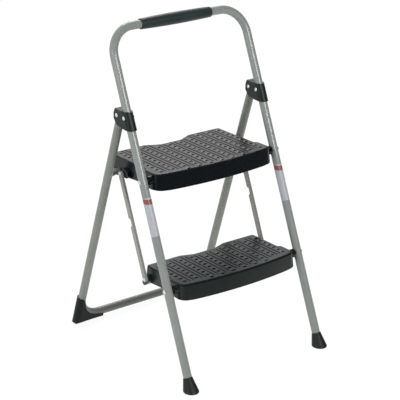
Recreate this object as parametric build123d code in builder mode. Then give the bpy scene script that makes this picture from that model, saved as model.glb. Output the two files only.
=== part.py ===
"""Two-step folding step stool: a leaning front frame with a hand rail, a rear frame hinged behind it,
and two moulded steps that fold up between the front legs on a pair of side links.
Millimetres. +X is the right of a person facing the front, -Y is the front, +Z is up."""
import math
import os

from build123d import *

os.makedirs("parts", exist_ok=True)

# ---------------------------------------------------------------- driving dimensions
# tubes
tube_diameter = 22.2
tube_wall = 1.2
# front frame, measured along its own leaning plane
front_lean = 22.0
front_foot_y = -251.05
front_half_width = 215.4
front_taper = 0.0037
rail_height = 857.4
rail_bend_radius = 71.0
front_tube_start = 10.0
# rear frame
rear_lean = 18.4
rear_half_width = 217.8
rear_bar_height = 17.9
rear_bend_radius = 68.0
rear_tube_past_hinge = 8.0
# hinge bracket
bracket_rivet_height = 651.2
hinge_offset = 28.3
hinge_rise = 12.5
bracket_wall = 2.8
bracket_bottom = -37.2
bracket_front_top = 10.2
bracket_clearance = 0.4
bracket_rear_outline = ((28.9, 30.8), (38.0, 22.0), (44.0, 8.0), (38.5, -9.0), (23.0, -20.5), (4.0, -30.5))
bracket_rivet_radius = 2.6
bracket_rivet_head_radius = 5.0
bracket_rivet_head_height = 2.0
hinge_pin_radius = 3.0
# hand grip
grip_length = 223.0
grip_shift = -5.0
grip_end_diameter = 27.4
grip_middle_diameter = 31.6
grip_end_radius = 2.0
# front feet
foot_length = 37.0
foot_top_radius = 11.9
foot_flare = 0.232
foot_depth = 12.0
foot_edge_radius = 2.5
# rear feet
boot_wall = 2.6
boot_flare = 0.6
boot_top = 90.0
boot_lip = (
    (3.2, 90.0),
    (-3.5, 81.0),
    (-6.5, 70.0),
    (-15.0, 50.0),
    (-28.0, 34.8),
    (-46.0, 24.2),
    (-60.0, 20.4),
    (-76.0, 16.3),
)
boot_round = 13.2
boot_flat = 8.0
boot_sole_rise = 5.0
boot_contact = 9.0
boot_bevel = 5.0
boot_corner_radius = 8.0
# pivots on the front legs
top_pivot_height = 499.2
bottom_pivot_height = 239.8
pivot_pin_radius = 4.0
pivot_boss_radius = 11.5
pivot_boss_reach = 200.2
pivot_head_radius = 6.0
pivot_head_height = 2.4
washer_gap = 0.3
seat_gap = 0.04
washer_radius = 9.0
tail_height = 2.0
# steps, measured from each step's own pivot
top_tread_rise = 17.5
bottom_tread_rise = 14.0
top_step_rear = 192.0
bottom_step_rear = 142.6
step_front = 35.5
step_bow = 15.5
top_skirt = 44.4
bottom_skirt = 42.6
step_half_width = 186.5
step_rear_half_width = 178.0
widening_start = 32.0
widening_end = 39.5
widening_radius = 6.0
step_draft = 6.0
step_wall = 3.0
scallop_half_width = 72.0
scallop_floor_half_width = 34.0
top_scallop_depth = 20.0
bottom_scallop_depth = 13.5
front_corner_radius = 20.0
rear_corner_radius = 8.0
soft_corner_radius = 24.0
tread_edge_radius = 5.0
tread_wall = 5.2
top_side_relief = ((-10.0, -24.0), (30.0, -23.4), (63.0, -24.1), (112.0, -27.2))
bottom_side_relief = ((-10.0, -24.5), (30.0, -23.8), (66.0, -24.4), (110.0, -26.6), (150.0, -27.6))
corner_rise = ((142.0, -0.5), (165.0, 0.9), (178.0, 1.9), (197.0, 4.2))
rib_thickness = 2.6
rib_depth = 20.0
rib_pitch = 44.0
rib_first_row = 26.25
rib_count = 3
# tread pattern
strip_pitch = 35.9
groove_spacing = 11.5
groove_width = 3.6
groove_depth = 1.5
groove_setback = 12.0
stud_radius = 5.4
stud_height = 1.2
stud_root = 0.5
dash_length = 12.4
dash_width = 4.2
dash_lead = 4.3
dash_tilt = 6.0
top_row_pitch = 19.5
bottom_row_pitch = 18.7
top_row_start = -2.0
bottom_row_start = 2.8
top_pattern_border = 4.0
bottom_pattern_border = 8.0
top_pattern_setback = 0.0
bottom_pattern_setback = 6.0
# side links
link_pivot_back = 121.9
link_pivot_drop = 15.4
link_outer_face = 199.4
link_channel_width = 12.5
link_channel_depth = 7.0
link_sheet = 1.4
notch_from_top = 129.0
notch_length = 24.0
notch_depth = 6.4
notch_slope = 4.0
link_rivet_radius = 2.6
link_rivet_head_radius = 5.0
link_rivet_head_height = 1.7
lug_radius = 11.0
lug_edge_radius = 1.2
top_lug_tail = (104.5, -17.0, 9.0)
bottom_lug_tail = (133.5, -28.5, 8.0)
lug_reach = 192.0
link_play = 0.1
link_sleeve_radius = 4.2
# support rod and the hooks that rest on it
rod_height = 485.0
rod_radius = 3.0
rod_inside_tube = 4.0
rod_bevel = 0.6
hook_clearance = 0.3
hook_slot_angle = 34.6
hook_slot_flare = 5.0
hook_slot_length = 46.0
jaw_profile = ((115.0, -14.0), (115.0, -27.2), (163.0, -33.6), (186.0, -47.0), (190.0, -44.5), (190.0, -14.0))
jaw_thickness = 4.4
# stickers
sticker_low = 370.0
sticker_high = 461.0
sticker_thickness = 0.2
sticker_gap = 0.05
sticker_angle = 220.0
# running fit of a pin in a moving part
running_clearance = 0.05
# bevel of a washer's rim and shape of a rivet, as shares of their own sizes
ring_chamfer = 0.2
tail_top_share = 0.7
tail_round_share = 0.4
head_rim_share = 0.25
dimple_radius_share = 0.4
dimple_depth_share = 0.6
# how far a point may lie from the corner that a fillet picks it for
corner_margin = 1.0

# ---------------------------------------------------------------- derived places
tube_radius = tube_diameter / 2
cut_reach = rear_half_width + tube_diameter
sin_f = math.sin(math.radians(front_lean))
cos_f = math.cos(math.radians(front_lean))
tan_f = math.tan(math.radians(front_lean))
sin_r = math.sin(math.radians(rear_lean))
cos_r = math.cos(math.radians(rear_lean))
tan_r = math.tan(math.radians(rear_lean))


def front_y(height):
    """Y of the front leg's axis at a height above the floor."""
    return front_foot_y + tan_f * height


def front_x(height):
    """Distance of the front leg's axis from the middle plane at a height."""
    return front_half_width - front_taper * height


bracket_rivet = (front_y(bracket_rivet_height), bracket_rivet_height)
hinge = (
    bracket_rivet[0] + hinge_offset * cos_f + hinge_rise * sin_f,
    bracket_rivet[1] - hinge_offset * sin_f + hinge_rise * cos_f,
)
rear_foot_y = hinge[0] + tan_r * hinge[1]
rear_taper = (rear_half_width - front_x(bracket_rivet_height)) / hinge[1]


def rear_y(height):
    """Y of the rear leg's axis at a height above the floor."""
    return rear_foot_y - tan_r * height


def rear_x(height):
    """Distance of the rear leg's axis from the middle plane at a height."""
    return rear_half_width - rear_taper * height


top_pivot = (front_y(top_pivot_height), top_pivot_height)
bottom_pivot = (front_y(bottom_pivot_height), bottom_pivot_height)
top_link_pivot = (top_pivot[0] + link_pivot_back, top_pivot[1] - link_pivot_drop)
bottom_link_pivot = (bottom_pivot[0] + link_pivot_back, bottom_pivot[1] - link_pivot_drop)
link_length = math.dist(top_link_pivot, bottom_link_pivot)
rod_centre = (rear_y(rod_height), rod_height)

front_plane = Plane(origin=(0, front_foot_y, 0), x_dir=(1, 0, 0), z_dir=(0, -cos_f, sin_f))
rear_plane = Plane(origin=(0, rear_foot_y, 0), x_dir=(1, 0, 0), z_dir=(0, -cos_r, -sin_r))


def save(builder, label):
    """Label a finished part and write its STEP file."""
    builder.part.label = label
    export_step(builder.part, f"parts/{label}.step")


def leg_section(side, height):
    """Plane square to a front leg, origin on its axis, local x to the right and local y to the back."""
    return Plane(
        origin=(side * front_x(height), front_y(height), height),
        x_dir=(1, 0, 0),
        z_dir=(-side * front_taper * cos_f, sin_f, cos_f),
    )


def bent_path(plane, end_half_width, end_along, bar_half_width, bar_along, bend_radius):
    """Centre line of a tube bent to a U in its own plane: leg, bar, leg."""
    with BuildLine(plane) as path:
        FilletPolyline(
            (-end_half_width, end_along),
            (-bar_half_width, bar_along),
            (bar_half_width, bar_along),
            (end_half_width, end_along),
            radius=bend_radius,
        )
    return path.line


def bent_tube(path, bore_radius):
    """Round tube along a path, solid when its bore is zero."""
    with BuildPart() as tube:
        with BuildSketch(Plane(origin=path @ 0, z_dir=path % 0)):
            Circle(tube_radius)
            if bore_radius:
                Circle(bore_radius, mode=Mode.SUBTRACT)
        sweep(path=path)
    return tube.part


# ---------------------------------------------------------------- profiles shared by several parts
def rivet(centre, inner_x, outer_x, shank_radius, head_radius, head_height, tail_radius, tail_height):
    """Domed rivet along X on the right side: the head is outermost, the rolled hollow tail innermost."""
    section = Plane(origin=(0, centre[0], centre[1]), x_dir=(1, 0, 0), z_dir=(0, -1, 0))
    with BuildPart() as body:
        with BuildSketch(section):
            with BuildLine():
                tail_edge = inner_x - tail_height
                tail_floor = tail_edge + tail_height * dimple_depth_share
                rim_x = outer_x + head_height * head_rim_share
                dome = outer_x + head_height - rim_x
                Polyline(
                    (tail_floor, 0),
                    (tail_floor, tail_radius * dimple_radius_share),
                    (tail_edge, tail_radius * tail_top_share),
                    (inner_x - tail_height * tail_round_share, tail_radius),
                    (inner_x, tail_radius),
                    (inner_x, shank_radius),
                    (outer_x, shank_radius),
                    (outer_x, head_radius),
                    (rim_x, head_radius),
                )
                RadiusArc(
                    (rim_x, head_radius),
                    (rim_x + dome, 0),
                    (head_radius**2 + dome**2) / (2 * dome),
                )
                Line((outer_x + head_height, 0), (tail_floor, 0))
            make_face()
        revolve(axis=Axis((0, centre[0], centre[1]), (1, 0, 0)))
    return body.part


def ring(centre, inner_x, outer_x, hole_radius, outer_radius):
    """Flat ring along X on the right side."""
    with BuildPart() as body:
        with BuildSketch(Plane.YZ.offset(inner_x)):
            with Locations(centre):
                Circle(outer_radius)
                Circle(hole_radius, mode=Mode.SUBTRACT)
        extrude(amount=outer_x - inner_x)
        outer_rims = body.edges().filter_by(GeomType.CIRCLE).sort_by(SortBy.RADIUS)[-2:]
        chamfer(outer_rims, (outer_x - inner_x) * ring_chamfer)
    return body.part


def step_outline(rear, scallop_depth, inset):
    """Plan of a step about its own pivot: bowed front, widened beside the legs, scalloped rear."""
    corner_y = -step_front + step_bow
    with BuildSketch() as plan:
        with BuildLine():
            ThreePointArc((-step_half_width, corner_y), (0, -step_front), (step_half_width, corner_y))
            Polyline(
                (step_half_width, corner_y),
                (step_half_width, widening_start),
                (step_rear_half_width, widening_end),
                (step_rear_half_width, rear),
                (scallop_half_width, rear),
                (scallop_floor_half_width, rear - scallop_depth),
                (-scallop_floor_half_width, rear - scallop_depth),
                (-scallop_half_width, rear),
                (-step_rear_half_width, rear),
                (-step_rear_half_width, widening_end),
                (-step_half_width, widening_start),
                (-step_half_width, corner_y),
            )
        make_face()
        corners = plan.vertices()
        fillet(corners.filter_by(lambda v: v.Y < corner_y + corner_margin), front_corner_radius)
        rear_limit = rear - corner_margin
        side_limit = step_rear_half_width - corner_margin
        rear_corners = plan.vertices().filter_by(lambda v: abs(v.X) > side_limit and v.Y > rear_limit)
        fillet(rear_corners, rear_corner_radius)
        narrow_from = widening_start - corner_margin
        narrow_to = widening_end + corner_margin
        fillet(plan.vertices().filter_by(lambda v: narrow_from < v.Y < narrow_to), widening_radius)
        scallop_limit = rear - scallop_depth - corner_margin
        scallop_side = scallop_half_width + corner_margin
        soft_corners = plan.vertices().filter_by(lambda v: abs(v.X) < scallop_side and v.Y > scallop_limit)
        fillet(soft_corners, soft_corner_radius)
        if inset:
            offset(amount=-inset, kind=Kind.ARC)
    return plan.sketch


def tread_columns():
    """Middle lines of the strips between the pairs of grooves."""
    strips = 2 * round(step_half_width / strip_pitch)
    return [(index + 0.5 - strips / 2) * strip_pitch for index in range(strips)]


def stud_places(rear, scallop_depth, border, row_pitch, row_start):
    """One stud to a strip and row, wherever a whole stud fits inside the plain border."""
    inner = step_outline(rear, scallop_depth, border + stud_radius).face()
    first_row = -int(step_front // row_pitch) - 1
    last_row = int(rear // row_pitch) + 1
    rows = [row_start + row * row_pitch for row in range(first_row, last_row + 1)]
    grid = [(across, along) for across in tread_columns() for along in rows]
    return [place for place in grid if inner.is_inside(Vector(*place, 0))]


def tread_cuts(rear, scallop_depth, border, tread, places):
    """Pairs of grooves between the strips, and a short dash across each stud's front, to cut away."""
    field = step_outline(rear, scallop_depth, border)
    edges = [across + strip_pitch / 2 for across in tread_columns()[:-1]]
    with BuildPart() as cuts:
        with BuildSketch(Plane.XY.offset(tread)):
            for edge in edges:
                with Locations((edge - groove_spacing / 2, rear / 2), (edge + groove_spacing / 2, rear / 2)):
                    Rectangle(groove_width, rear * 2)
            add(field, mode=Mode.INTERSECT)
            with Locations((0, groove_setback)):
                add(field, mode=Mode.INTERSECT)
        extrude(amount=-groove_depth)
        with BuildSketch(Plane.XY.offset(tread + stud_height)):
            with Locations(*[(across, along - dash_lead) for across, along in places]):
                SlotOverall(dash_length, dash_width, rotation=dash_tilt)
        extrude(amount=-stud_height - groove_depth)
    return cuts.part


def stud_cap():
    """Low dome of a sphere, with a short root below the tread."""
    sphere_radius = (stud_radius**2 + stud_height**2) / (2 * stud_height)
    with BuildPart() as cap:
        with Locations((0, 0, stud_height - sphere_radius)):
            Sphere(sphere_radius)
        split(bisect_by=Plane.XY.offset(-stud_root), keep=Keep.TOP)
    return cap.part


def lug_shape(tail):
    """Boss that carries the link's rivet, about the step's pivot, on the right side."""
    with BuildPart() as boss:
        with BuildSketch(Plane.YZ.offset(step_rear_half_width - step_wall)):
            with Locations((link_pivot_back, -link_pivot_drop)):
                Circle(lug_radius)
            with Locations(tail[:2]):
                Circle(tail[2])
            make_hull()
        extrude(amount=lug_reach - step_rear_half_width + step_wall)
        fillet(boss.faces().sort_by(Axis.X)[-1].edges(), lug_edge_radius)
    return boss.part


def jaw_shape():
    """Rear lower corner of a side wall, deepened behind the hook, about the step's pivot."""
    with BuildPart() as jaw:
        with BuildSketch(Plane.YZ.offset(step_rear_half_width)):
            with BuildLine():
                Polyline(*jaw_profile, close=True)
            make_face()
        extrude(amount=jaw_thickness)
    return jaw.part


def step_body(rear, scallop_depth, tread, skirt, relief, lug_tail, pattern, has_hook):
    """A moulded step about its own pivot, which lies on the X axis through the origin."""
    with BuildPart() as body:
        with BuildSketch(Plane.XY.offset(tread)):
            add(step_outline(rear, scallop_depth, 0))
        extrude(amount=-skirt, taper=-step_draft)
        fillet(body.faces().sort_by(Axis.Z)[-1].edges(), tread_edge_radius)
        with BuildSketch(Plane.XY.offset(tread - tread_wall)):
            add(step_outline(rear, scallop_depth, step_wall))
        extrude(amount=-skirt, taper=-step_draft, mode=Mode.SUBTRACT)
        # the lower edge is higher along both side walls than at the front
        with BuildSketch(Plane.YZ):
            with BuildLine():
                Spline(*relief)
                Polyline(relief[-1], (relief[-1][0], -skirt), (relief[0][0], -skirt), relief[0])
            make_face()
        extrude(amount=cut_reach, both=True, mode=Mode.SUBTRACT)
        # and it rises towards both front corners
        for side in (-1, 1):
            rise = [(side * across, tread - skirt + up) for across, up in corner_rise]
            with BuildSketch(Plane.XZ.offset(-relief[0][0])):
                with BuildLine():
                    Spline(*rise)
                    Polyline(rise[-1], (rise[-1][0], -skirt), (rise[0][0], -skirt), rise[0])
                make_face()
            extrude(amount=step_front * 2, mode=Mode.SUBTRACT)
        # ribs under the tread
        with BuildSketch(Plane.XY.offset(tread - tread_wall)):
            for index in range(-rib_count, rib_count + 1):
                with Locations((index * rib_pitch, rear / 2)):
                    Rectangle(rib_thickness, rear * 2)
            rib_rows = int((rear - rib_first_row) // rib_pitch) + 1
            for row in range(rib_rows):
                with Locations((0, rib_first_row + row * rib_pitch)):
                    Rectangle(step_half_width * 2, rib_thickness)
            add(step_outline(rear, scallop_depth, step_wall / 2), mode=Mode.INTERSECT)
        extrude(amount=-rib_depth)
        # bosses for the pivot pins, lugs for the links, deepened corners
        with BuildSketch(Plane.YZ.offset(step_half_width - step_wall * 2)):
            Circle(pivot_boss_radius)
        extrude(amount=pivot_boss_reach - step_half_width + step_wall * 2)
        with BuildSketch(Plane.YZ.offset(-step_half_width + step_wall * 2)):
            Circle(pivot_boss_radius)
        extrude(amount=-(pivot_boss_reach - step_half_width + step_wall * 2))
        lug = lug_shape(lug_tail)
        add(lug)
        add(lug.mirror(Plane.YZ))
        if has_hook:
            jaw = jaw_shape()
            add(jaw)
            add(jaw.mirror(Plane.YZ))
            # slots that drop over the support rod
            slot_radius = rod_radius + hook_clearance
            rod_y = rod_centre[0] - top_pivot[0]
            rod_z = rod_centre[1] - top_pivot[1]
            down_y = -math.sin(math.radians(hook_slot_angle))
            down_z = -math.cos(math.radians(hook_slot_angle))
            side_y = -down_z * slot_radius
            side_z = down_y * slot_radius
            mouth_y = rod_y + down_y * hook_slot_length
            mouth_z = rod_z + down_z * hook_slot_length
            with BuildSketch(Plane.YZ):
                with Locations((rod_y, rod_z)):
                    Circle(slot_radius)
                with BuildLine():
                    Polyline(
                        (rod_y + side_y, rod_z + side_z),
                        (rod_y - side_y, rod_z - side_z),
                        (mouth_y - side_y - hook_slot_flare, mouth_z - side_z),
                        (mouth_y + side_y + hook_slot_flare, mouth_z + side_z - hook_slot_flare),
                        close=True,
                    )
                make_face()
            extrude(amount=cut_reach, both=True, mode=Mode.SUBTRACT)
        # bores
        with BuildSketch(Plane.YZ):
            Circle(pivot_pin_radius + running_clearance)
        extrude(amount=cut_reach, both=True, mode=Mode.SUBTRACT)
        with BuildSketch(Plane.YZ):
            with Locations((link_pivot_back, -link_pivot_drop)):
                Circle(link_rivet_radius)
        extrude(amount=cut_reach, both=True, mode=Mode.SUBTRACT)
        # studs and grooves of the tread
        border, setback, row_pitch, row_start = pattern
        places = stud_places(rear - setback, scallop_depth, border, row_pitch, row_start)
        with Locations(*[(across, along, tread) for across, along in places]):
            add(stud_cap())
        add(tread_cuts(rear - setback, scallop_depth, border, tread, places), mode=Mode.SUBTRACT)
    return body.part


# ---------------------------------------------------------------- front frame
front_path = bent_path(
    front_plane,
    front_half_width - front_taper * front_tube_start * cos_f,
    front_tube_start,
    front_half_width - front_taper * rail_height,
    rail_height / cos_f,
    rail_bend_radius,
)
front_tube_solid = bent_tube(front_path, 0)

with BuildPart() as front_frame:
    add(bent_tube(front_path, tube_radius - tube_wall))
    with BuildSketch(Plane.YZ):
        with Locations(top_pivot, bottom_pivot):
            Circle(pivot_pin_radius)
        with Locations(bracket_rivet):
            Circle(bracket_rivet_radius)
    extrude(amount=cut_reach, both=True, mode=Mode.SUBTRACT)
save(front_frame, "front_frame")

# ---------------------------------------------------------------- hand grip
with BuildPart() as hand_grip:
    rail_centre = (grip_shift, front_y(rail_height), rail_height)
    half_grip = grip_length / 2
    with BuildSketch(Plane(origin=rail_centre, x_dir=(1, 0, 0), z_dir=(0, -1, 0))):
        with BuildLine():
            ThreePointArc(
                (-half_grip, grip_end_diameter / 2),
                (0, grip_middle_diameter / 2),
                (half_grip, grip_end_diameter / 2),
            )
            Polyline(
                (half_grip, grip_end_diameter / 2),
                (half_grip, tube_radius),
                (-half_grip, tube_radius),
                (-half_grip, grip_end_diameter / 2),
            )
        make_face()
    revolve(axis=Axis(rail_centre, (1, 0, 0)))
    rims = hand_grip.edges().filter_by(GeomType.CIRCLE)
    bore_limit = (tube_radius + grip_end_diameter / 2) / 2
    fillet(rims.filter_by(lambda rim: rim.radius > bore_limit), grip_end_radius)
save(hand_grip, "hand_grip")

# ---------------------------------------------------------------- front feet
for side, name in ((-1, "front_foot_left"), (1, "front_foot_right")):
    foot_point = (side * front_half_width, front_foot_y, 0)
    with BuildPart() as front_foot:
        with BuildSketch(Plane(origin=foot_point, x_dir=(1, 0, 0), z_dir=(0, -cos_f, sin_f))):
            with BuildLine():
                Polyline(
                    (0, -foot_depth),
                    (foot_top_radius + foot_flare * (foot_length + foot_depth), -foot_depth),
                    (foot_top_radius, foot_length),
                    (0, foot_length),
                    close=True,
                )
            make_face()
        revolve(axis=Axis(foot_point, (0, sin_f, cos_f)))
        split(bisect_by=Plane.XY, keep=Keep.TOP)
        fillet(front_foot.faces().sort_by(Axis.Z)[0].outer_wire().edges(), foot_edge_radius)
        add(front_tube_solid, mode=Mode.SUBTRACT)
    save(front_foot, name)

# ---------------------------------------------------------------- rear frame
rear_top_along = hinge[1] / cos_r + rear_tube_past_hinge
rear_bar_along = rear_bar_height / cos_r
rear_path = bent_path(
    rear_plane,
    rear_half_width - rear_taper * rear_top_along * cos_r,
    rear_top_along,
    rear_half_width,
    rear_bar_along,
    rear_bend_radius,
)
rear_tube_solid = bent_tube(rear_path, 0)

with BuildPart() as rear_frame:
    add(bent_tube(rear_path, tube_radius - tube_wall))
    with BuildSketch(Plane.YZ):
        with Locations(hinge):
            Circle(hinge_pin_radius + running_clearance)
    extrude(amount=cut_reach, both=True, mode=Mode.SUBTRACT)
    with BuildSketch(Plane.YZ):
        with Locations(rod_centre):
            Circle(rod_radius)
    extrude(amount=rear_x(rod_height), both=True, mode=Mode.SUBTRACT)
save(rear_frame, "rear_frame")

# ---------------------------------------------------------------- support rod
with BuildPart() as support_rod:
    with BuildSketch(Plane.YZ):
        with Locations(rod_centre):
            Circle(rod_radius)
    extrude(amount=rear_x(rod_height) - tube_radius + rod_inside_tube, both=True)
    chamfer(support_rod.edges().filter_by(GeomType.CIRCLE), rod_bevel)
save(support_rod, "support_rod")

# ---------------------------------------------------------------- rear feet
for side, name in ((-1, "rear_foot_left"), (1, "rear_foot_right")):
    outer_top = rear_half_width + tube_radius + boot_wall
    outer_bottom = outer_top + boot_flare
    lip = [(side * (rear_half_width + across), along) for across, along in boot_lip]
    tip_x = rear_half_width + boot_lip[-1][0]
    flat_x = rear_half_width - boot_flat
    with BuildPart() as rear_foot:
        with BuildSketch(rear_plane):
            with BuildLine():
                Spline(*lip)
                Polyline(
                    lip[-1],
                    (side * tip_x, -tube_radius),
                    (side * outer_bottom, -tube_radius),
                    (side * outer_top, boot_top),
                    lip[0],
                )
            make_face()
        extrude(amount=tube_radius + boot_wall, both=True)
        outer_face = rear_foot.faces().sort_by(Axis.X)[-1 if side > 0 else 0]
        fillet(outer_face.edges().sort_by(SortBy.LENGTH)[-2:], boot_round)
        split(bisect_by=Plane.XY, keep=Keep.TOP)
        # the sole rises from the flat under the leg to the tip under the bar
        with BuildSketch(Plane.XZ.offset(-rear_foot_y)):
            with BuildLine():
                Polyline(
                    (side * flat_x, 0),
                    (side * tip_x, boot_sole_rise),
                    (side * tip_x, -boot_sole_rise),
                    (side * flat_x, -boot_sole_rise),
                    close=True,
                )
            make_face()
        extrude(amount=boot_top, both=True, mode=Mode.SUBTRACT)
        # bevel of the sole at the front and rear, then a rounded outer corner
        with BuildSketch(Plane.YZ):
            for way in (-1, 1):
                with BuildLine():
                    Polyline(
                        (rear_foot_y + way * boot_contact, 0),
                        (rear_foot_y + way * (boot_contact + boot_bevel), boot_bevel),
                        (rear_foot_y + way * (boot_contact + boot_bevel * 2), boot_bevel),
                        (rear_foot_y + way * (boot_contact + boot_bevel * 2), 0),
                        close=True,
                    )
                make_face()
        extrude(amount=outer_bottom * 2, both=True, mode=Mode.SUBTRACT)
        with BuildSketch(Plane.XZ.offset(-rear_foot_y)):
            with BuildLine():
                inside = boot_corner_radius * (1 - math.sqrt(0.5))
                outside = outer_bottom + boot_corner_radius
                ThreePointArc(
                    (side * (outer_bottom - boot_corner_radius), 0),
                    (side * (outer_bottom - inside), inside),
                    (side * outer_bottom, boot_corner_radius),
                )
                Polyline(
                    (side * outer_bottom, boot_corner_radius),
                    (side * outside, boot_corner_radius),
                    (side * outside, 0),
                    (side * (outer_bottom - boot_corner_radius), 0),
                )
            make_face()
        extrude(amount=boot_top, both=True, mode=Mode.SUBTRACT)
        add(rear_tube_solid, mode=Mode.SUBTRACT)
    save(rear_foot, name)

# ---------------------------------------------------------------- hinge brackets
cheek_inside = tube_radius + bracket_clearance
cheek_outside = cheek_inside + bracket_wall
for side, name in ((-1, "hinge_bracket_left"), (1, "hinge_bracket_right")):
    centre_x = side * front_x(bracket_rivet_height)
    section = Plane(origin=(centre_x, *bracket_rivet), x_dir=(1, 0, 0), z_dir=(0, sin_f, cos_f))
    bracket_top = bracket_rear_outline[0][1]
    roof_slope = (bracket_top - bracket_front_top) / (bracket_rear_outline[0][0] + cheek_outside)
    ceiling = bracket_front_top + cheek_outside * roof_slope - bracket_wall * math.hypot(1, roof_slope)
    reach = max(point[0] for point in bracket_rear_outline) + bracket_wall
    cheek_plane = Plane(origin=(centre_x, *bracket_rivet), x_dir=(0, cos_f, -sin_f), z_dir=(1, 0, 0))
    with BuildPart() as hinge_bracket:
        with BuildSketch(cheek_plane):
            with BuildLine():
                Polyline(
                    (-cheek_outside, bracket_front_top),
                    *bracket_rear_outline,
                    (-cheek_outside, bracket_bottom),
                    close=True,
                )
            make_face()
        extrude(amount=cheek_outside, both=True)
        with BuildSketch(section):
            Circle(cheek_outside)
            with Locations((0, reach / 2)):
                Rectangle(cheek_outside * 2, reach)
        extrude(amount=bracket_top - bracket_bottom, both=True, mode=Mode.INTERSECT)
        # hollow for the rear leg, open below and behind
        with BuildSketch(cheek_plane):
            with BuildLine():
                Polyline(
                    (0, ceiling),
                    (reach, ceiling + reach * roof_slope),
                    (reach, bracket_bottom * 2),
                    (0, bracket_bottom * 2),
                    close=True,
                )
            make_face()
        extrude(amount=cheek_inside, both=True, mode=Mode.SUBTRACT)
        add(front_tube_solid, mode=Mode.SUBTRACT)
        with BuildSketch(Plane.YZ.offset(centre_x)):
            with Locations(bracket_rivet):
                Circle(bracket_rivet_radius)
            with Locations(hinge):
                Circle(hinge_pin_radius)
        extrude(amount=cheek_outside * 2, both=True, mode=Mode.SUBTRACT)
    save(hinge_bracket, name)

bracket_middle = front_x(bracket_rivet_height)
with BuildPart() as bracket_rivets:
    add(
        rivet(
            bracket_rivet,
            bracket_middle - cheek_outside,
            bracket_middle + cheek_outside,
            bracket_rivet_radius,
            bracket_rivet_head_radius,
            bracket_rivet_head_height,
            bracket_rivet_head_radius,
            tail_height,
        )
    )
    mirror(about=Plane.YZ)
save(bracket_rivets, "bracket_rivets")

with BuildPart() as hinge_pins:
    add(
        rivet(
            hinge,
            bracket_middle - cheek_outside,
            bracket_middle + cheek_outside,
            hinge_pin_radius,
            bracket_rivet_head_radius,
            bracket_rivet_head_height,
            bracket_rivet_head_radius,
            tail_height,
        )
    )
    mirror(about=Plane.YZ)
save(hinge_pins, "hinge_pins")

# ---------------------------------------------------------------- steps
with BuildPart() as top_step:
    top_body = step_body(
        top_step_rear,
        top_scallop_depth,
        top_tread_rise,
        top_skirt,
        top_side_relief,
        top_lug_tail,
        (top_pattern_border, top_pattern_setback, top_row_pitch, top_row_start),
        True,
    )
    add(top_body.moved(Location((0, *top_pivot))))
save(top_step, "top_step")

with BuildPart() as bottom_step:
    bottom_body = step_body(
        bottom_step_rear,
        bottom_scallop_depth,
        bottom_tread_rise,
        bottom_skirt,
        bottom_side_relief,
        bottom_lug_tail,
        (bottom_pattern_border, bottom_pattern_setback, bottom_row_pitch, bottom_row_start),
        False,
    )
    add(bottom_body.moved(Location((0, *bottom_pivot))))
save(bottom_step, "bottom_step")

# ---------------------------------------------------------------- step pivot pins and washers
boss_inside = step_half_width - step_wall * 2
for pivot, prefix in ((top_pivot, "top"), (bottom_pivot, "bottom")):
    leg_x = front_x(pivot[1])
    with BuildPart() as pivot_pins:
        add(
            rivet(
                pivot,
                boss_inside - washer_gap,
                leg_x + tube_radius + seat_gap,
                pivot_pin_radius,
                pivot_head_radius,
                pivot_head_height,
                pivot_head_radius,
                tail_height,
            )
        )
        mirror(about=Plane.YZ)
    save(pivot_pins, f"{prefix}_pivot_pins")
    with BuildPart() as pivot_washers:
        washer_outer = leg_x - tube_radius - seat_gap
        add(ring(pivot, pivot_boss_reach + washer_gap, washer_outer, pivot_pin_radius, washer_radius))
        mirror(about=Plane.YZ)
    save(pivot_washers, f"{prefix}_pivot_washers")

# ---------------------------------------------------------------- side links
link_start = Vector(0, *top_link_pivot)
link_along = (Vector(0, *bottom_link_pivot) - link_start).normalized()
link_plane = Plane(origin=(0, *top_link_pivot), x_dir=link_along, z_dir=(1, 0, 0))
half_channel = link_channel_width / 2


def link_outline():
    """Side view of a link: a bar with round ends and a notch in its rear edge."""
    with BuildSketch() as outline:
        with Locations((link_length / 2, 0)):
            SlotCenterToCenter(link_length, link_channel_width)
        with BuildLine():
            Polyline(
                (notch_from_top - notch_length / 2, half_channel),
                (notch_from_top - notch_length / 2 + notch_slope, half_channel - notch_depth),
                (notch_from_top + notch_length / 2 - notch_slope, half_channel - notch_depth),
                (notch_from_top + notch_length / 2, half_channel),
                (notch_from_top + notch_length / 2, link_channel_width),
                (notch_from_top - notch_length / 2, link_channel_width),
                close=True,
            )
        make_face(mode=Mode.SUBTRACT)
    return outline.sketch


# a channel: its web faces forwards and its two flanges point backwards
for side, name in ((-1, "link_left"), (1, "link_right")):
    with BuildPart() as link:
        with BuildSketch(link_plane.offset(side * link_outer_face)):
            add(link_outline())
        extrude(amount=-side * link_channel_depth)
        with BuildSketch(link_plane.offset(side * (link_outer_face - link_sheet))):
            with Locations((link_length / 2, link_sheet)):
                Rectangle(link_length * 2, link_channel_width)
        extrude(amount=-side * (link_channel_depth - 2 * link_sheet), mode=Mode.SUBTRACT)
        with BuildSketch(Plane.YZ.offset(side * link_outer_face)):
            with Locations(top_link_pivot, bottom_link_pivot):
                Circle(link_rivet_radius + running_clearance)
        extrude(amount=-side * link_channel_depth, mode=Mode.SUBTRACT)
    save(link, name)

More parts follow.
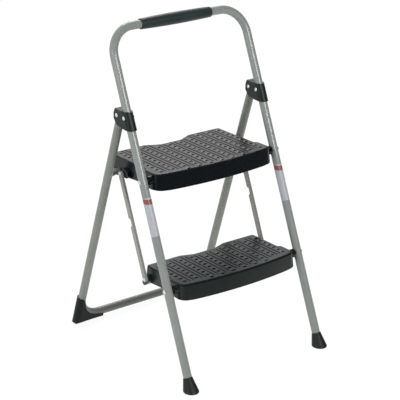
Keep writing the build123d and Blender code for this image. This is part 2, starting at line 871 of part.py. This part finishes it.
lug_inside = step_rear_half_width - step_wall
for pivot, prefix in ((top_link_pivot, "top"), (bottom_link_pivot, "bottom")):
    with BuildPart() as link_rivets:
        add(
            rivet(
                pivot,
                lug_inside,
                link_outer_face + link_play,
                link_rivet_radius,
                link_rivet_head_radius,
                link_rivet_head_height,
                link_rivet_head_radius,
                tail_height,
            )
        )
        mirror(about=Plane.YZ)
    save(link_rivets, f"{prefix}_link_rivets")
    with BuildPart() as link_spacers:
        add(
            ring(
                pivot,
                link_outer_face - link_channel_depth + link_sheet + link_play,
                link_outer_face - link_sheet - link_play,
                link_rivet_radius,
                link_sleeve_radius,
            )
        )
        mirror(about=Plane.YZ)
    save(link_spacers, f"{prefix}_link_spacers")

# ---------------------------------------------------------------- stickers
for side, name in ((-1, "leg_sticker_left"), (1, "leg_sticker_right")):
    with BuildPart() as leg_sticker:
        with BuildSketch(leg_section(side, sticker_low)):
            Circle(tube_radius + sticker_gap + sticker_thickness)
            Circle(tube_radius + sticker_gap, mode=Mode.SUBTRACT)
            with BuildLine():
                open_half = math.radians((360 - sticker_angle) / 2)
                Polyline(
                    (0, 0),
                    (tube_diameter * math.sin(open_half), tube_diameter * math.cos(open_half)),
                    (0, tube_diameter * 2),
                    (-tube_diameter * math.sin(open_half), tube_diameter * math.cos(open_half)),
                    close=True,
                )
            make_face(mode=Mode.SUBTRACT)
        extrude(amount=(sticker_high - sticker_low) / cos_f)
    save(leg_sticker, name)
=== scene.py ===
"""Looks of the folding step stool: finishes, floor, world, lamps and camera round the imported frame."""
import math

import bpy
from mathutils import Matrix, Vector

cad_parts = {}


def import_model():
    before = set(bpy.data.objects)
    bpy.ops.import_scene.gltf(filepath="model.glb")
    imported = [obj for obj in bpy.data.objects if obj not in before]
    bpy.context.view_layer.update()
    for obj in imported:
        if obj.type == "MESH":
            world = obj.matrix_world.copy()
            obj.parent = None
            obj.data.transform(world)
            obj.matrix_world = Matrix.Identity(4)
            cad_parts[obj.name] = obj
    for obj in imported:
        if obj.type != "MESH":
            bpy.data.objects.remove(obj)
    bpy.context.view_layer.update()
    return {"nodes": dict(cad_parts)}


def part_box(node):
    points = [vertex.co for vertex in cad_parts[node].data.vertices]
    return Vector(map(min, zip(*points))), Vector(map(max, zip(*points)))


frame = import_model()
nodes = frame["nodes"]

# ---------------------------------------------------------------- camera, fitted to the photo
CAMERA_PLACE = (-2.262631, -2.90119, 1.770515)
CAMERA_YAW = 38.014
CAMERA_PITCH = -20.59
CAMERA_ROLL = 0.425
CAMERA_LENS = 135.18
CAMERA_SENSOR = 36.0
CAMERA_REACH = 100.0

# ---------------------------------------------------------------- floor
FLOOR_HALF = 30.0
FLOOR_PLAIN = (0.8, 0.8, 0.8, 1.0)
FLOOR_FAINT = (0.1, 0.1, 0.1, 1.0)
FLOOR_WHITE = 0.93
# reflections see FLOOR_FAR in front of y = FLOOR_DARK, and FLOOR_WHITE behind y = FLOOR_BRIGHT
FLOOR_FAR = 0.05
FLOOR_DARK = -1.3
FLOOR_BRIGHT = -0.3

# ---------------------------------------------------------------- world
# strength by direction: y less WORLD_LEAN of x runs from WORLD_DARK_AT to WORLD_WHITE_AT
WORLD_COLOUR = (1.0, 1.0, 1.0, 1.0)
WORLD_SEEN = 1.0
WORLD_DIM = 0.08
WORLD_WHITE = 0.9
WORLD_DARK_AT = -0.3
WORLD_WHITE_AT = 0.6
WORLD_LEAN = 0.35
# and z from WORLD_ABOVE_FROM to WORLD_ABOVE_TO adds up to WORLD_ABOVE
WORLD_ABOVE = 0.2
WORLD_ABOVE_FROM = 0.35
WORLD_ABOVE_TO = 0.95

# ---------------------------------------------------------------- lamps
# name: place, width and height, watts, whether the steps are spared
LAMPS = {
    "front_lamp": ((0.05, -3.8, 2.35), (2.5, 0.95), 90.0, True),
    "left_lamp": ((-3.2, -0.6, 1.8), (1.6, 1.6), 26.0, True),
    "rear_lamp": ((1.25, 2.1, 2.9), (1.3, 1.3), 38.0, False),
}
LAMP_AIM = (0.0, 0.0, 0.4)

# ---------------------------------------------------------------- colours, linear
POWDER = (0.262, 0.284, 0.270)
REAR_POWDER = (0.236, 0.252, 0.224)
# painted light: the links' grey is set lighter than the frame's powder coat, to make up for the shade that
# the front leg and top step cast on them
LINK_GREY_PAINTED_LIGHT = (0.330, 0.332, 0.300)
GRIP_BLACK = (0.021, 0.032, 0.032)
FOOT_BLACK = (0.005, 0.0080, 0.0085)
BOOT_BLACK = (0.004, 0.0095, 0.0090)
BRACKET_GREY = (0.009, 0.0155, 0.013)
# painted light: both steps are one plastic, but each step's tread and skirt get colours of their own that
# stand in for light. The top tread is painted lighter, as lit from above. The bottom tread is painted
# darker, as shaded by the top step. The bottom skirt is painted lighter than the top one. The front and
# left lamps spare the steps, and these colours make up for that light.
TOP_SKIRT = (0.0050, 0.0115, 0.0155)
BOTTOM_SKIRT_PAINTED_LIGHT = (0.0250, 0.0380, 0.0340)
TOP_TREAD_PAINTED_LIGHT = (0.046, 0.044, 0.048)
BOTTOM_TREAD_PAINTED_SHADE = (0.017, 0.027, 0.030)
RIVET_METAL = (0.72, 0.80, 0.78)
ROD_METAL = (0.45, 0.45, 0.45)
WASHER_BLACK = (0.012, 0.013, 0.014)
FILM_WHITE = (0.44, 0.46, 0.49)
FILM_RED = (0.27, 0.075, 0.068)

# ---------------------------------------------------------------- finishes
# GRAIN is a noise's scale, BUMP a bump's strength and distance, and UNEVEN what noise adds to the roughness
NOISE_ROUGH = 0.5
CLOUD_LOW = 0.3
CLOUD_HIGH = 0.7

PAINT_ROUGH = 0.5
PAINT_UNEVEN = (-0.05, 0.05)
PAINT_UNEVEN_GRAIN = 900.0
PAINT_CLOUD = 0.05
PAINT_CLOUD_GRAIN = 9.0
PAINT_PEEL_BUMP = (0.02, 0.0001)
PAINT_PEEL_GRAIN = 260.0
PAINT_SPECULAR = 0.25
PAINT_COAT = 0.6
PAINT_COAT_ROUGH = 0.07

PLASTIC_FLOW = 0.12
PLASTIC_FLOW_GRAIN = 14.0
PLASTIC_UNEVEN = (-0.05, 0.06)
PLASTIC_UNEVEN_GRAIN = 60.0
PLASTIC_BUMP_STRENGTH = 0.35
PLASTIC_SPECULAR = 0.33

METALLIC = 0.6
METAL_TARNISH = 0.85
METAL_TARNISH_GRAIN = 120.0
METAL_UNEVEN = (-0.06, 0.08)
METAL_UNEVEN_GRAIN = 700.0
METAL_BUMP = (0.2, 0.0003)
METAL_BUMP_GRAIN = 300.0

# height in a step's tread: the studs over the tread, and how far the moulded edge drops under it
STUD_RISE = 0.0012
EDGE_DROP = 0.0060
# places on that height, as shares of it
SKIRT_AT = 0.1
GROOVE_AT = 0.6
GLOSS_AT = 0.7
TREAD_AT = 0.81
STUD_AT = 0.95
# painted shade in the grooves and painted highlight on the studs, as factors on the tread colour
GROOVE_PAINTED_SHADE = 0.5
STUD_PAINTED_HIGHLIGHT = 2.0
SKIRT_ROUGH = 0.22
TREAD_ROUGH = 0.28
STEP_UNEVEN = (-0.03, 0.04)
STEP_BUMP = (0.15, 0.0002)
STEP_BUMP_GRAIN = 500.0

# heights on a sticker, as shares of it
FILM_RED_AT = 0.83
FILM_TOP_AT = 0.95
FILM_ROUGH = (0.3, 0.4)
FILM_ROUGH_GRAIN = 80.0
FILM_BUMP = (0.1, 0.0005)
FILM_BUMP_GRAIN = 40.0


def tint(colour, factor):
    return tuple(c * factor for c in colour)


def grey(value):
    return (value,) * 3


# ---------------------------------------------------------------- node helpers
class Nodes:
    """A node tree, built from top to bottom. An input is a value, or another node's output socket."""

    def __init__(self, tree):
        self.tree = tree

    def add(self, kind, **inputs):
        node = self.tree.nodes.new(kind)
        for key, value in inputs.items():
            self.put(node.inputs[key.replace("_", " ")], value)
        return node

    def put(self, socket, value):
        if isinstance(value, bpy.types.NodeSocket):
            self.tree.links.new(value, socket)
        else:
            socket.default_value = value

    def math(self, operation, first, second):
        node = self.add("ShaderNodeMath")
        node.operation = operation
        self.put(node.inputs[0], first)
        self.put(node.inputs[1], second)
        return node.outputs[0]

    def span(self, value, start=0.0, end=1.0, low=0.0, high=1.0, kind="LINEAR"):
        """Maps start to end onto low to high."""
        node = self.add("ShaderNodeMapRange", Value=value)
        node.interpolation_type = kind
        for name, number in (("From Min", start), ("From Max", end), ("To Min", low), ("To Max", high)):
            node.inputs[name].default_value = number
        return node.outputs["Result"]

    def ramp(self, fac, stops, kind="LINEAR"):
        node = self.add("ShaderNodeValToRGB", Fac=fac)
        node.color_ramp.interpolation = kind
        elements = node.color_ramp.elements
        while len(elements) < len(stops):
            elements.new(0.5)
        for element, (place, colour) in zip(elements, stops):
            element.position = place
            element.color = (*colour, 1.0)
        return node.outputs["Color"]

    def axis(self, vector, name):
        return self.add("ShaderNodeSeparateXYZ", Vector=vector).outputs[name]

    def coordinates(self):
        return self.add("ShaderNodeTexCoord").outputs["Object"]

    def noise(self, grain, detail=3.0):
        node = self.add("ShaderNodeTexNoise", Scale=grain, Detail=detail, Roughness=NOISE_ROUGH)
        self.put(node.inputs["Vector"], self.coordinates())
        return node.outputs["Fac"]

    def clouds(self, noise, darkest, lightest):
        return self.ramp(noise, [(CLOUD_LOW, darkest), (CLOUD_HIGH, lightest)])

    def uneven(self, noise, middle, spread):
        """A roughness that the noise shifts from its middle by anything in the spread."""
        return self.span(noise, low=middle + spread[0], high=middle + spread[1])

    def bump(self, height, strength, distance):
        node = self.add("ShaderNodeBump", Strength=strength, Distance=distance, Height=height)
        return node.outputs["Normal"]


class Finish(Nodes):
    """A material with one principled shader."""

    def __init__(self, name):
        self.material = bpy.data.materials.new(name)
        self.material.use_nodes = True
        super().__init__(self.material.node_tree)
        self.shader = self.tree.nodes["Principled BSDF"]

    def set(self, **inputs):
        for key, value in inputs.items():
            self.put(self.shader.inputs[key.replace("_", " ")], value)
        return self.material


# ---------------------------------------------------------------- materials
def painted(name, colour):
    """Satin powder coat under a clear gloss: faint orange peel, faint clouding."""
    m = Finish(name)
    return m.set(
        Base_Color=m.clouds(m.noise(PAINT_CLOUD_GRAIN, detail=4.0),
                            tint(colour, 1 - PAINT_CLOUD), tint(colour, 1 + PAINT_CLOUD)),
        Roughness=m.uneven(m.noise(PAINT_UNEVEN_GRAIN, detail=2.0), PAINT_ROUGH, PAINT_UNEVEN),
        Normal=m.bump(m.noise(PAINT_PEEL_GRAIN, detail=2.0), *PAINT_PEEL_BUMP),
        Specular_IOR_Level=PAINT_SPECULAR,
        Coat_Weight=PAINT_COAT,
        Coat_Roughness=PAINT_COAT_ROUGH,
    )


def moulded(name, colour, roughness, grain, depth, specular=PLASTIC_SPECULAR):
    """Moulded plastic or rubber: fine grain, faint flow marks."""
    m = Finish(name)
    return m.set(
        Base_Color=m.clouds(m.noise(PLASTIC_FLOW_GRAIN),
                            tint(colour, 1 - PLASTIC_FLOW), tint(colour, 1 + PLASTIC_FLOW)),
        Roughness=m.uneven(m.noise(PLASTIC_UNEVEN_GRAIN, detail=4.0), roughness, PLASTIC_UNEVEN),
        Normal=m.bump(m.noise(grain), PLASTIC_BUMP_STRENGTH, depth),
        Specular_IOR_Level=specular,
    )


def step_finish(name, node, tread_colour, skirt_colour):
    """Moulded step: glossy skirt, satin tread. Painted light: the tread's top faces get a colour of their
    own apart from the skirt's, with a painted highlight on the studs and painted shade in the grooves.
    """
    m = Finish(name)
    stud_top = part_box(node)[1].z
    level = m.span(m.axis(m.coordinates(), "Z"), stud_top - STUD_RISE - EDGE_DROP, stud_top)
    # painted light by height: skirt colour below the edge, painted shade in the grooves, the tread colour
    # on top, a painted highlight on the studs
    painted_light_shades = m.ramp(level, [(SKIRT_AT, skirt_colour), (GROOVE_AT, tint(tread_colour, GROOVE_PAINTED_SHADE)),
                            (TREAD_AT, tread_colour), (STUD_AT, tint(tread_colour, STUD_PAINTED_HIGHLIGHT))])
    flow = m.clouds(m.noise(PLASTIC_FLOW_GRAIN), grey(1 - PLASTIC_FLOW), grey(1 + PLASTIC_FLOW))
    mix = m.add("ShaderNodeMixRGB", Fac=1.0, Color1=painted_light_shades, Color2=flow)
    mix.blend_type = "MULTIPLY"
    rough = m.ramp(level, [(SKIRT_AT, grey(SKIRT_ROUGH)), (GLOSS_AT, grey(TREAD_ROUGH))])
    uneven = m.uneven(m.noise(PLASTIC_UNEVEN_GRAIN, detail=4.0), 0.0, STEP_UNEVEN)
    return m.set(
        Base_Color=mix.outputs["Color"],
        Roughness=m.math("ADD", rough, uneven),
        Normal=m.bump(m.noise(STEP_BUMP_GRAIN), *STEP_BUMP),
        Specular_IOR_Level=PLASTIC_SPECULAR,
    )


def metal(name, colour, roughness):
    """Bright plated steel with a faint tarnish."""
    m = Finish(name)
    return m.set(
        Base_Color=m.clouds(m.noise(METAL_TARNISH_GRAIN), tint(colour, METAL_TARNISH), colour),
        Roughness=m.uneven(m.noise(METAL_UNEVEN_GRAIN), roughness, METAL_UNEVEN),
        Normal=m.bump(m.noise(METAL_BUMP_GRAIN), *METAL_BUMP),
        Metallic=METALLIC,
    )


def film(name, low, high):
    """Bare white label film with a plain red band near its top."""
    m = Finish(name)
    height = m.span(m.axis(m.coordinates(), "Z"), low, high)
    bands = [(0.0, FILM_WHITE), (FILM_RED_AT, FILM_RED), (FILM_TOP_AT, FILM_WHITE)]
    return m.set(
        Base_Color=m.ramp(height, bands, "CONSTANT"),
        Roughness=m.uneven(m.noise(FILM_ROUGH_GRAIN), 0.0, FILM_ROUGH),
        Normal=m.bump(m.noise(FILM_BUMP_GRAIN), *FILM_BUMP),
    )


def dress(material, *names):
    for name in names:
        mesh = nodes[name].data
        mesh.materials.clear()
        mesh.materials.append(material)


rivet_steel = metal("rivet_steel", RIVET_METAL, roughness=0.22)
rod_steel = metal("rod_steel", ROD_METAL, roughness=0.35)
grip_plastic = moulded("grip_plastic", GRIP_BLACK, roughness=0.42, grain=500.0, depth=0.0005)
foot_rubber = moulded("foot_rubber", FOOT_BLACK, roughness=0.5, grain=700.0, depth=0.0004)
boot_rubber = moulded("boot_rubber", BOOT_BLACK, roughness=0.5, grain=700.0, depth=0.0004, specular=0.18)
bracket_plastic = moulded("bracket_plastic", BRACKET_GREY, roughness=0.4, grain=600.0, depth=0.0003,
                          specular=0.26)
nylon = moulded("nylon", WASHER_BLACK, roughness=0.45, grain=800.0, depth=0.0002)

dress(painted("powder_coat", POWDER), "front_frame")
dress(painted("rear_coat", REAR_POWDER), "rear_frame")
dress(painted("link_coat_painted_light", LINK_GREY_PAINTED_LIGHT), "link_left", "link_right")
dress(grip_plastic, "hand_grip")
dress(foot_rubber, "front_foot_left", "front_foot_right")
dress(boot_rubber, "rear_foot_left", "rear_foot_right")
dress(bracket_plastic, "hinge_bracket_left", "hinge_bracket_right")
# each step gets its own painted-light copy of the same plastic
dress(step_finish("top_plastic_painted_light", "top_step", TOP_TREAD_PAINTED_LIGHT, TOP_SKIRT), "top_step")
dress(step_finish("bottom_plastic_painted_light_and_shade", "bottom_step", BOTTOM_TREAD_PAINTED_SHADE, BOTTOM_SKIRT_PAINTED_LIGHT), "bottom_step")
dress(rivet_steel, "bracket_rivets", "hinge_pins", "top_pivot_pins", "bottom_pivot_pins")
dress(rivet_steel, "top_link_rivets", "bottom_link_rivets")
dress(rod_steel, "support_rod")
dress(nylon, "top_pivot_washers", "bottom_pivot_washers", "top_link_spacers", "bottom_link_spacers")
for side in ("left", "right"):
    low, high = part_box(f"leg_sticker_{side}")
    dress(film(f"film_{side}", low.z, high.z), f"leg_sticker_{side}")


# ---------------------------------------------------------------- floor, world, lamps, camera
def show(name, data):
    piece = bpy.data.objects.new(name, data)
    bpy.context.scene.collection.objects.link(piece)
    return piece


def ray(n, *kinds):
    """1 for rays of any of the kinds."""
    path = n.add("ShaderNodeLightPath").outputs
    seen = path[kinds[0]]
    for kind in kinds[1:]:
        seen = n.math("MAXIMUM", seen, path[kind])
    return seen


def floor():
    """Wide white floor with a faint shadow. To reflections it ends in front, where the studio is dark."""
    mesh = bpy.data.meshes.new("floor")
    corners = [(x * FLOOR_HALF, y * FLOOR_HALF, 0.0) for x, y in ((-1, -1), (1, -1), (1, 1), (-1, 1))]
    mesh.from_pydata(corners, [], [(0, 1, 2, 3)])
    material = bpy.data.materials.new("floor_white")
    material.use_nodes = True
    n = Nodes(material.node_tree)
    n.tree.nodes.remove(n.tree.nodes["Principled BSDF"])
    place = n.axis(n.add("ShaderNodeNewGeometry").outputs["Position"], "Y")
    sweep = n.span(place, FLOOR_DARK, FLOOR_BRIGHT, FLOOR_FAR, FLOOR_WHITE, "SMOOTHSTEP")
    strength = n.add("ShaderNodeMix", Factor=ray(n, "Is Camera Ray"), A=sweep, B=FLOOR_WHITE)
    glow = n.add("ShaderNodeEmission", Strength=strength.outputs["Result"])
    faint = n.add("ShaderNodeBsdfDiffuse", Color=FLOOR_FAINT)
    white = n.add("ShaderNodeAddShader")
    n.put(white.inputs[0], faint.outputs[0])
    n.put(white.inputs[1], glow.outputs[0])
    mix = n.add("ShaderNodeMixShader", Fac=ray(n, "Is Camera Ray", "Is Glossy Ray", "Is Transmission Ray"))
    n.put(mix.inputs[1], n.add("ShaderNodeBsdfDiffuse", Color=FLOOR_PLAIN).outputs[0])
    n.put(mix.inputs[2], white.outputs[0])
    n.put(n.tree.nodes["Material Output"].inputs["Surface"], mix.outputs[0])
    mesh.materials.append(material)
    piece = show("floor", mesh)


def world():
    """White behind the stool, dim in front and to its right; the camera sees plain white."""
    settings = bpy.data.worlds.new("studio")
    bpy.context.scene.world = settings
    settings.use_nodes = True
    n = Nodes(settings.node_tree)
    sky = n.add("ShaderNodeTexCoord").outputs["Generated"]
    direction = n.add("ShaderNodeSeparateXYZ", Vector=sky).outputs
    rearward = n.math("SUBTRACT", direction["Y"], n.math("MULTIPLY", direction["X"], WORLD_LEAN))
    level = n.span(rearward, WORLD_DARK_AT, WORLD_WHITE_AT, WORLD_DIM, WORLD_WHITE, "SMOOTHSTEP")
    above = n.span(direction["Z"], WORLD_ABOVE_FROM, WORLD_ABOVE_TO, 0.0, WORLD_ABOVE, "SMOOTHSTEP")
    strength = n.add("ShaderNodeMix", Factor=ray(n, "Is Camera Ray", "Is Transmission Ray"),
                     A=n.math("ADD", level, above), B=WORLD_SEEN)
    back = n.tree.nodes["Background"]
    n.put(back.inputs["Color"], WORLD_COLOUR)
    n.put(back.inputs["Strength"], strength.outputs["Result"])


def lamp(name, place, size, watts, spare_steps):
    """Area lamp. It can spare the steps, whose treads would mirror a front lamp when seen from behind."""
    light = bpy.data.lights.new(name, "AREA")
    light.shape = "RECTANGLE"
    light.size, light.size_y = size
    light.energy = watts
    piece = show(name, light)
    piece.location = place
    piece.rotation_euler = (Vector(LAMP_AIM) - Vector(place)).to_track_quat("-Z", "Y").to_euler()
    if spare_steps:
        receivers = bpy.data.collections.new(name + "_steps")
        piece.light_linking.receiver_collection = receivers
        for step in ("top_step", "bottom_step"):
            receivers.objects.link(nodes[step])
        for link in receivers.collection_objects:
            link.light_linking.link_state = "EXCLUDE"


def camera():
    yaw, pitch, roll = (math.radians(v) for v in (CAMERA_YAW, CAMERA_PITCH, CAMERA_ROLL))
    forward = Vector((math.sin(yaw) * math.cos(pitch), math.cos(yaw) * math.cos(pitch), math.sin(pitch)))
    level_right = Vector((math.cos(yaw), -math.sin(yaw), 0.0))
    level_up = level_right.cross(forward)
    right = level_right * math.cos(roll) + level_up * math.sin(roll)
    up = level_up * math.cos(roll) - level_right * math.sin(roll)
    data = bpy.data.cameras.new("camera")
    data.lens = CAMERA_LENS
    data.sensor_width = CAMERA_SENSOR
    data.clip_end = CAMERA_REACH
    piece = show("camera", data)
    turn = Matrix((right, up, -forward)).transposed()
    piece.matrix_world = Matrix.Translation(Vector(CAMERA_PLACE)) @ turn.to_4x4()
    bpy.context.scene.camera = piece


camera()
floor()
world()
for lamp_name, lamp_values in LAMPS.items():
    lamp(lamp_name, *lamp_values)
bpy.context.scene.view_settings.view_transform = "Standard"
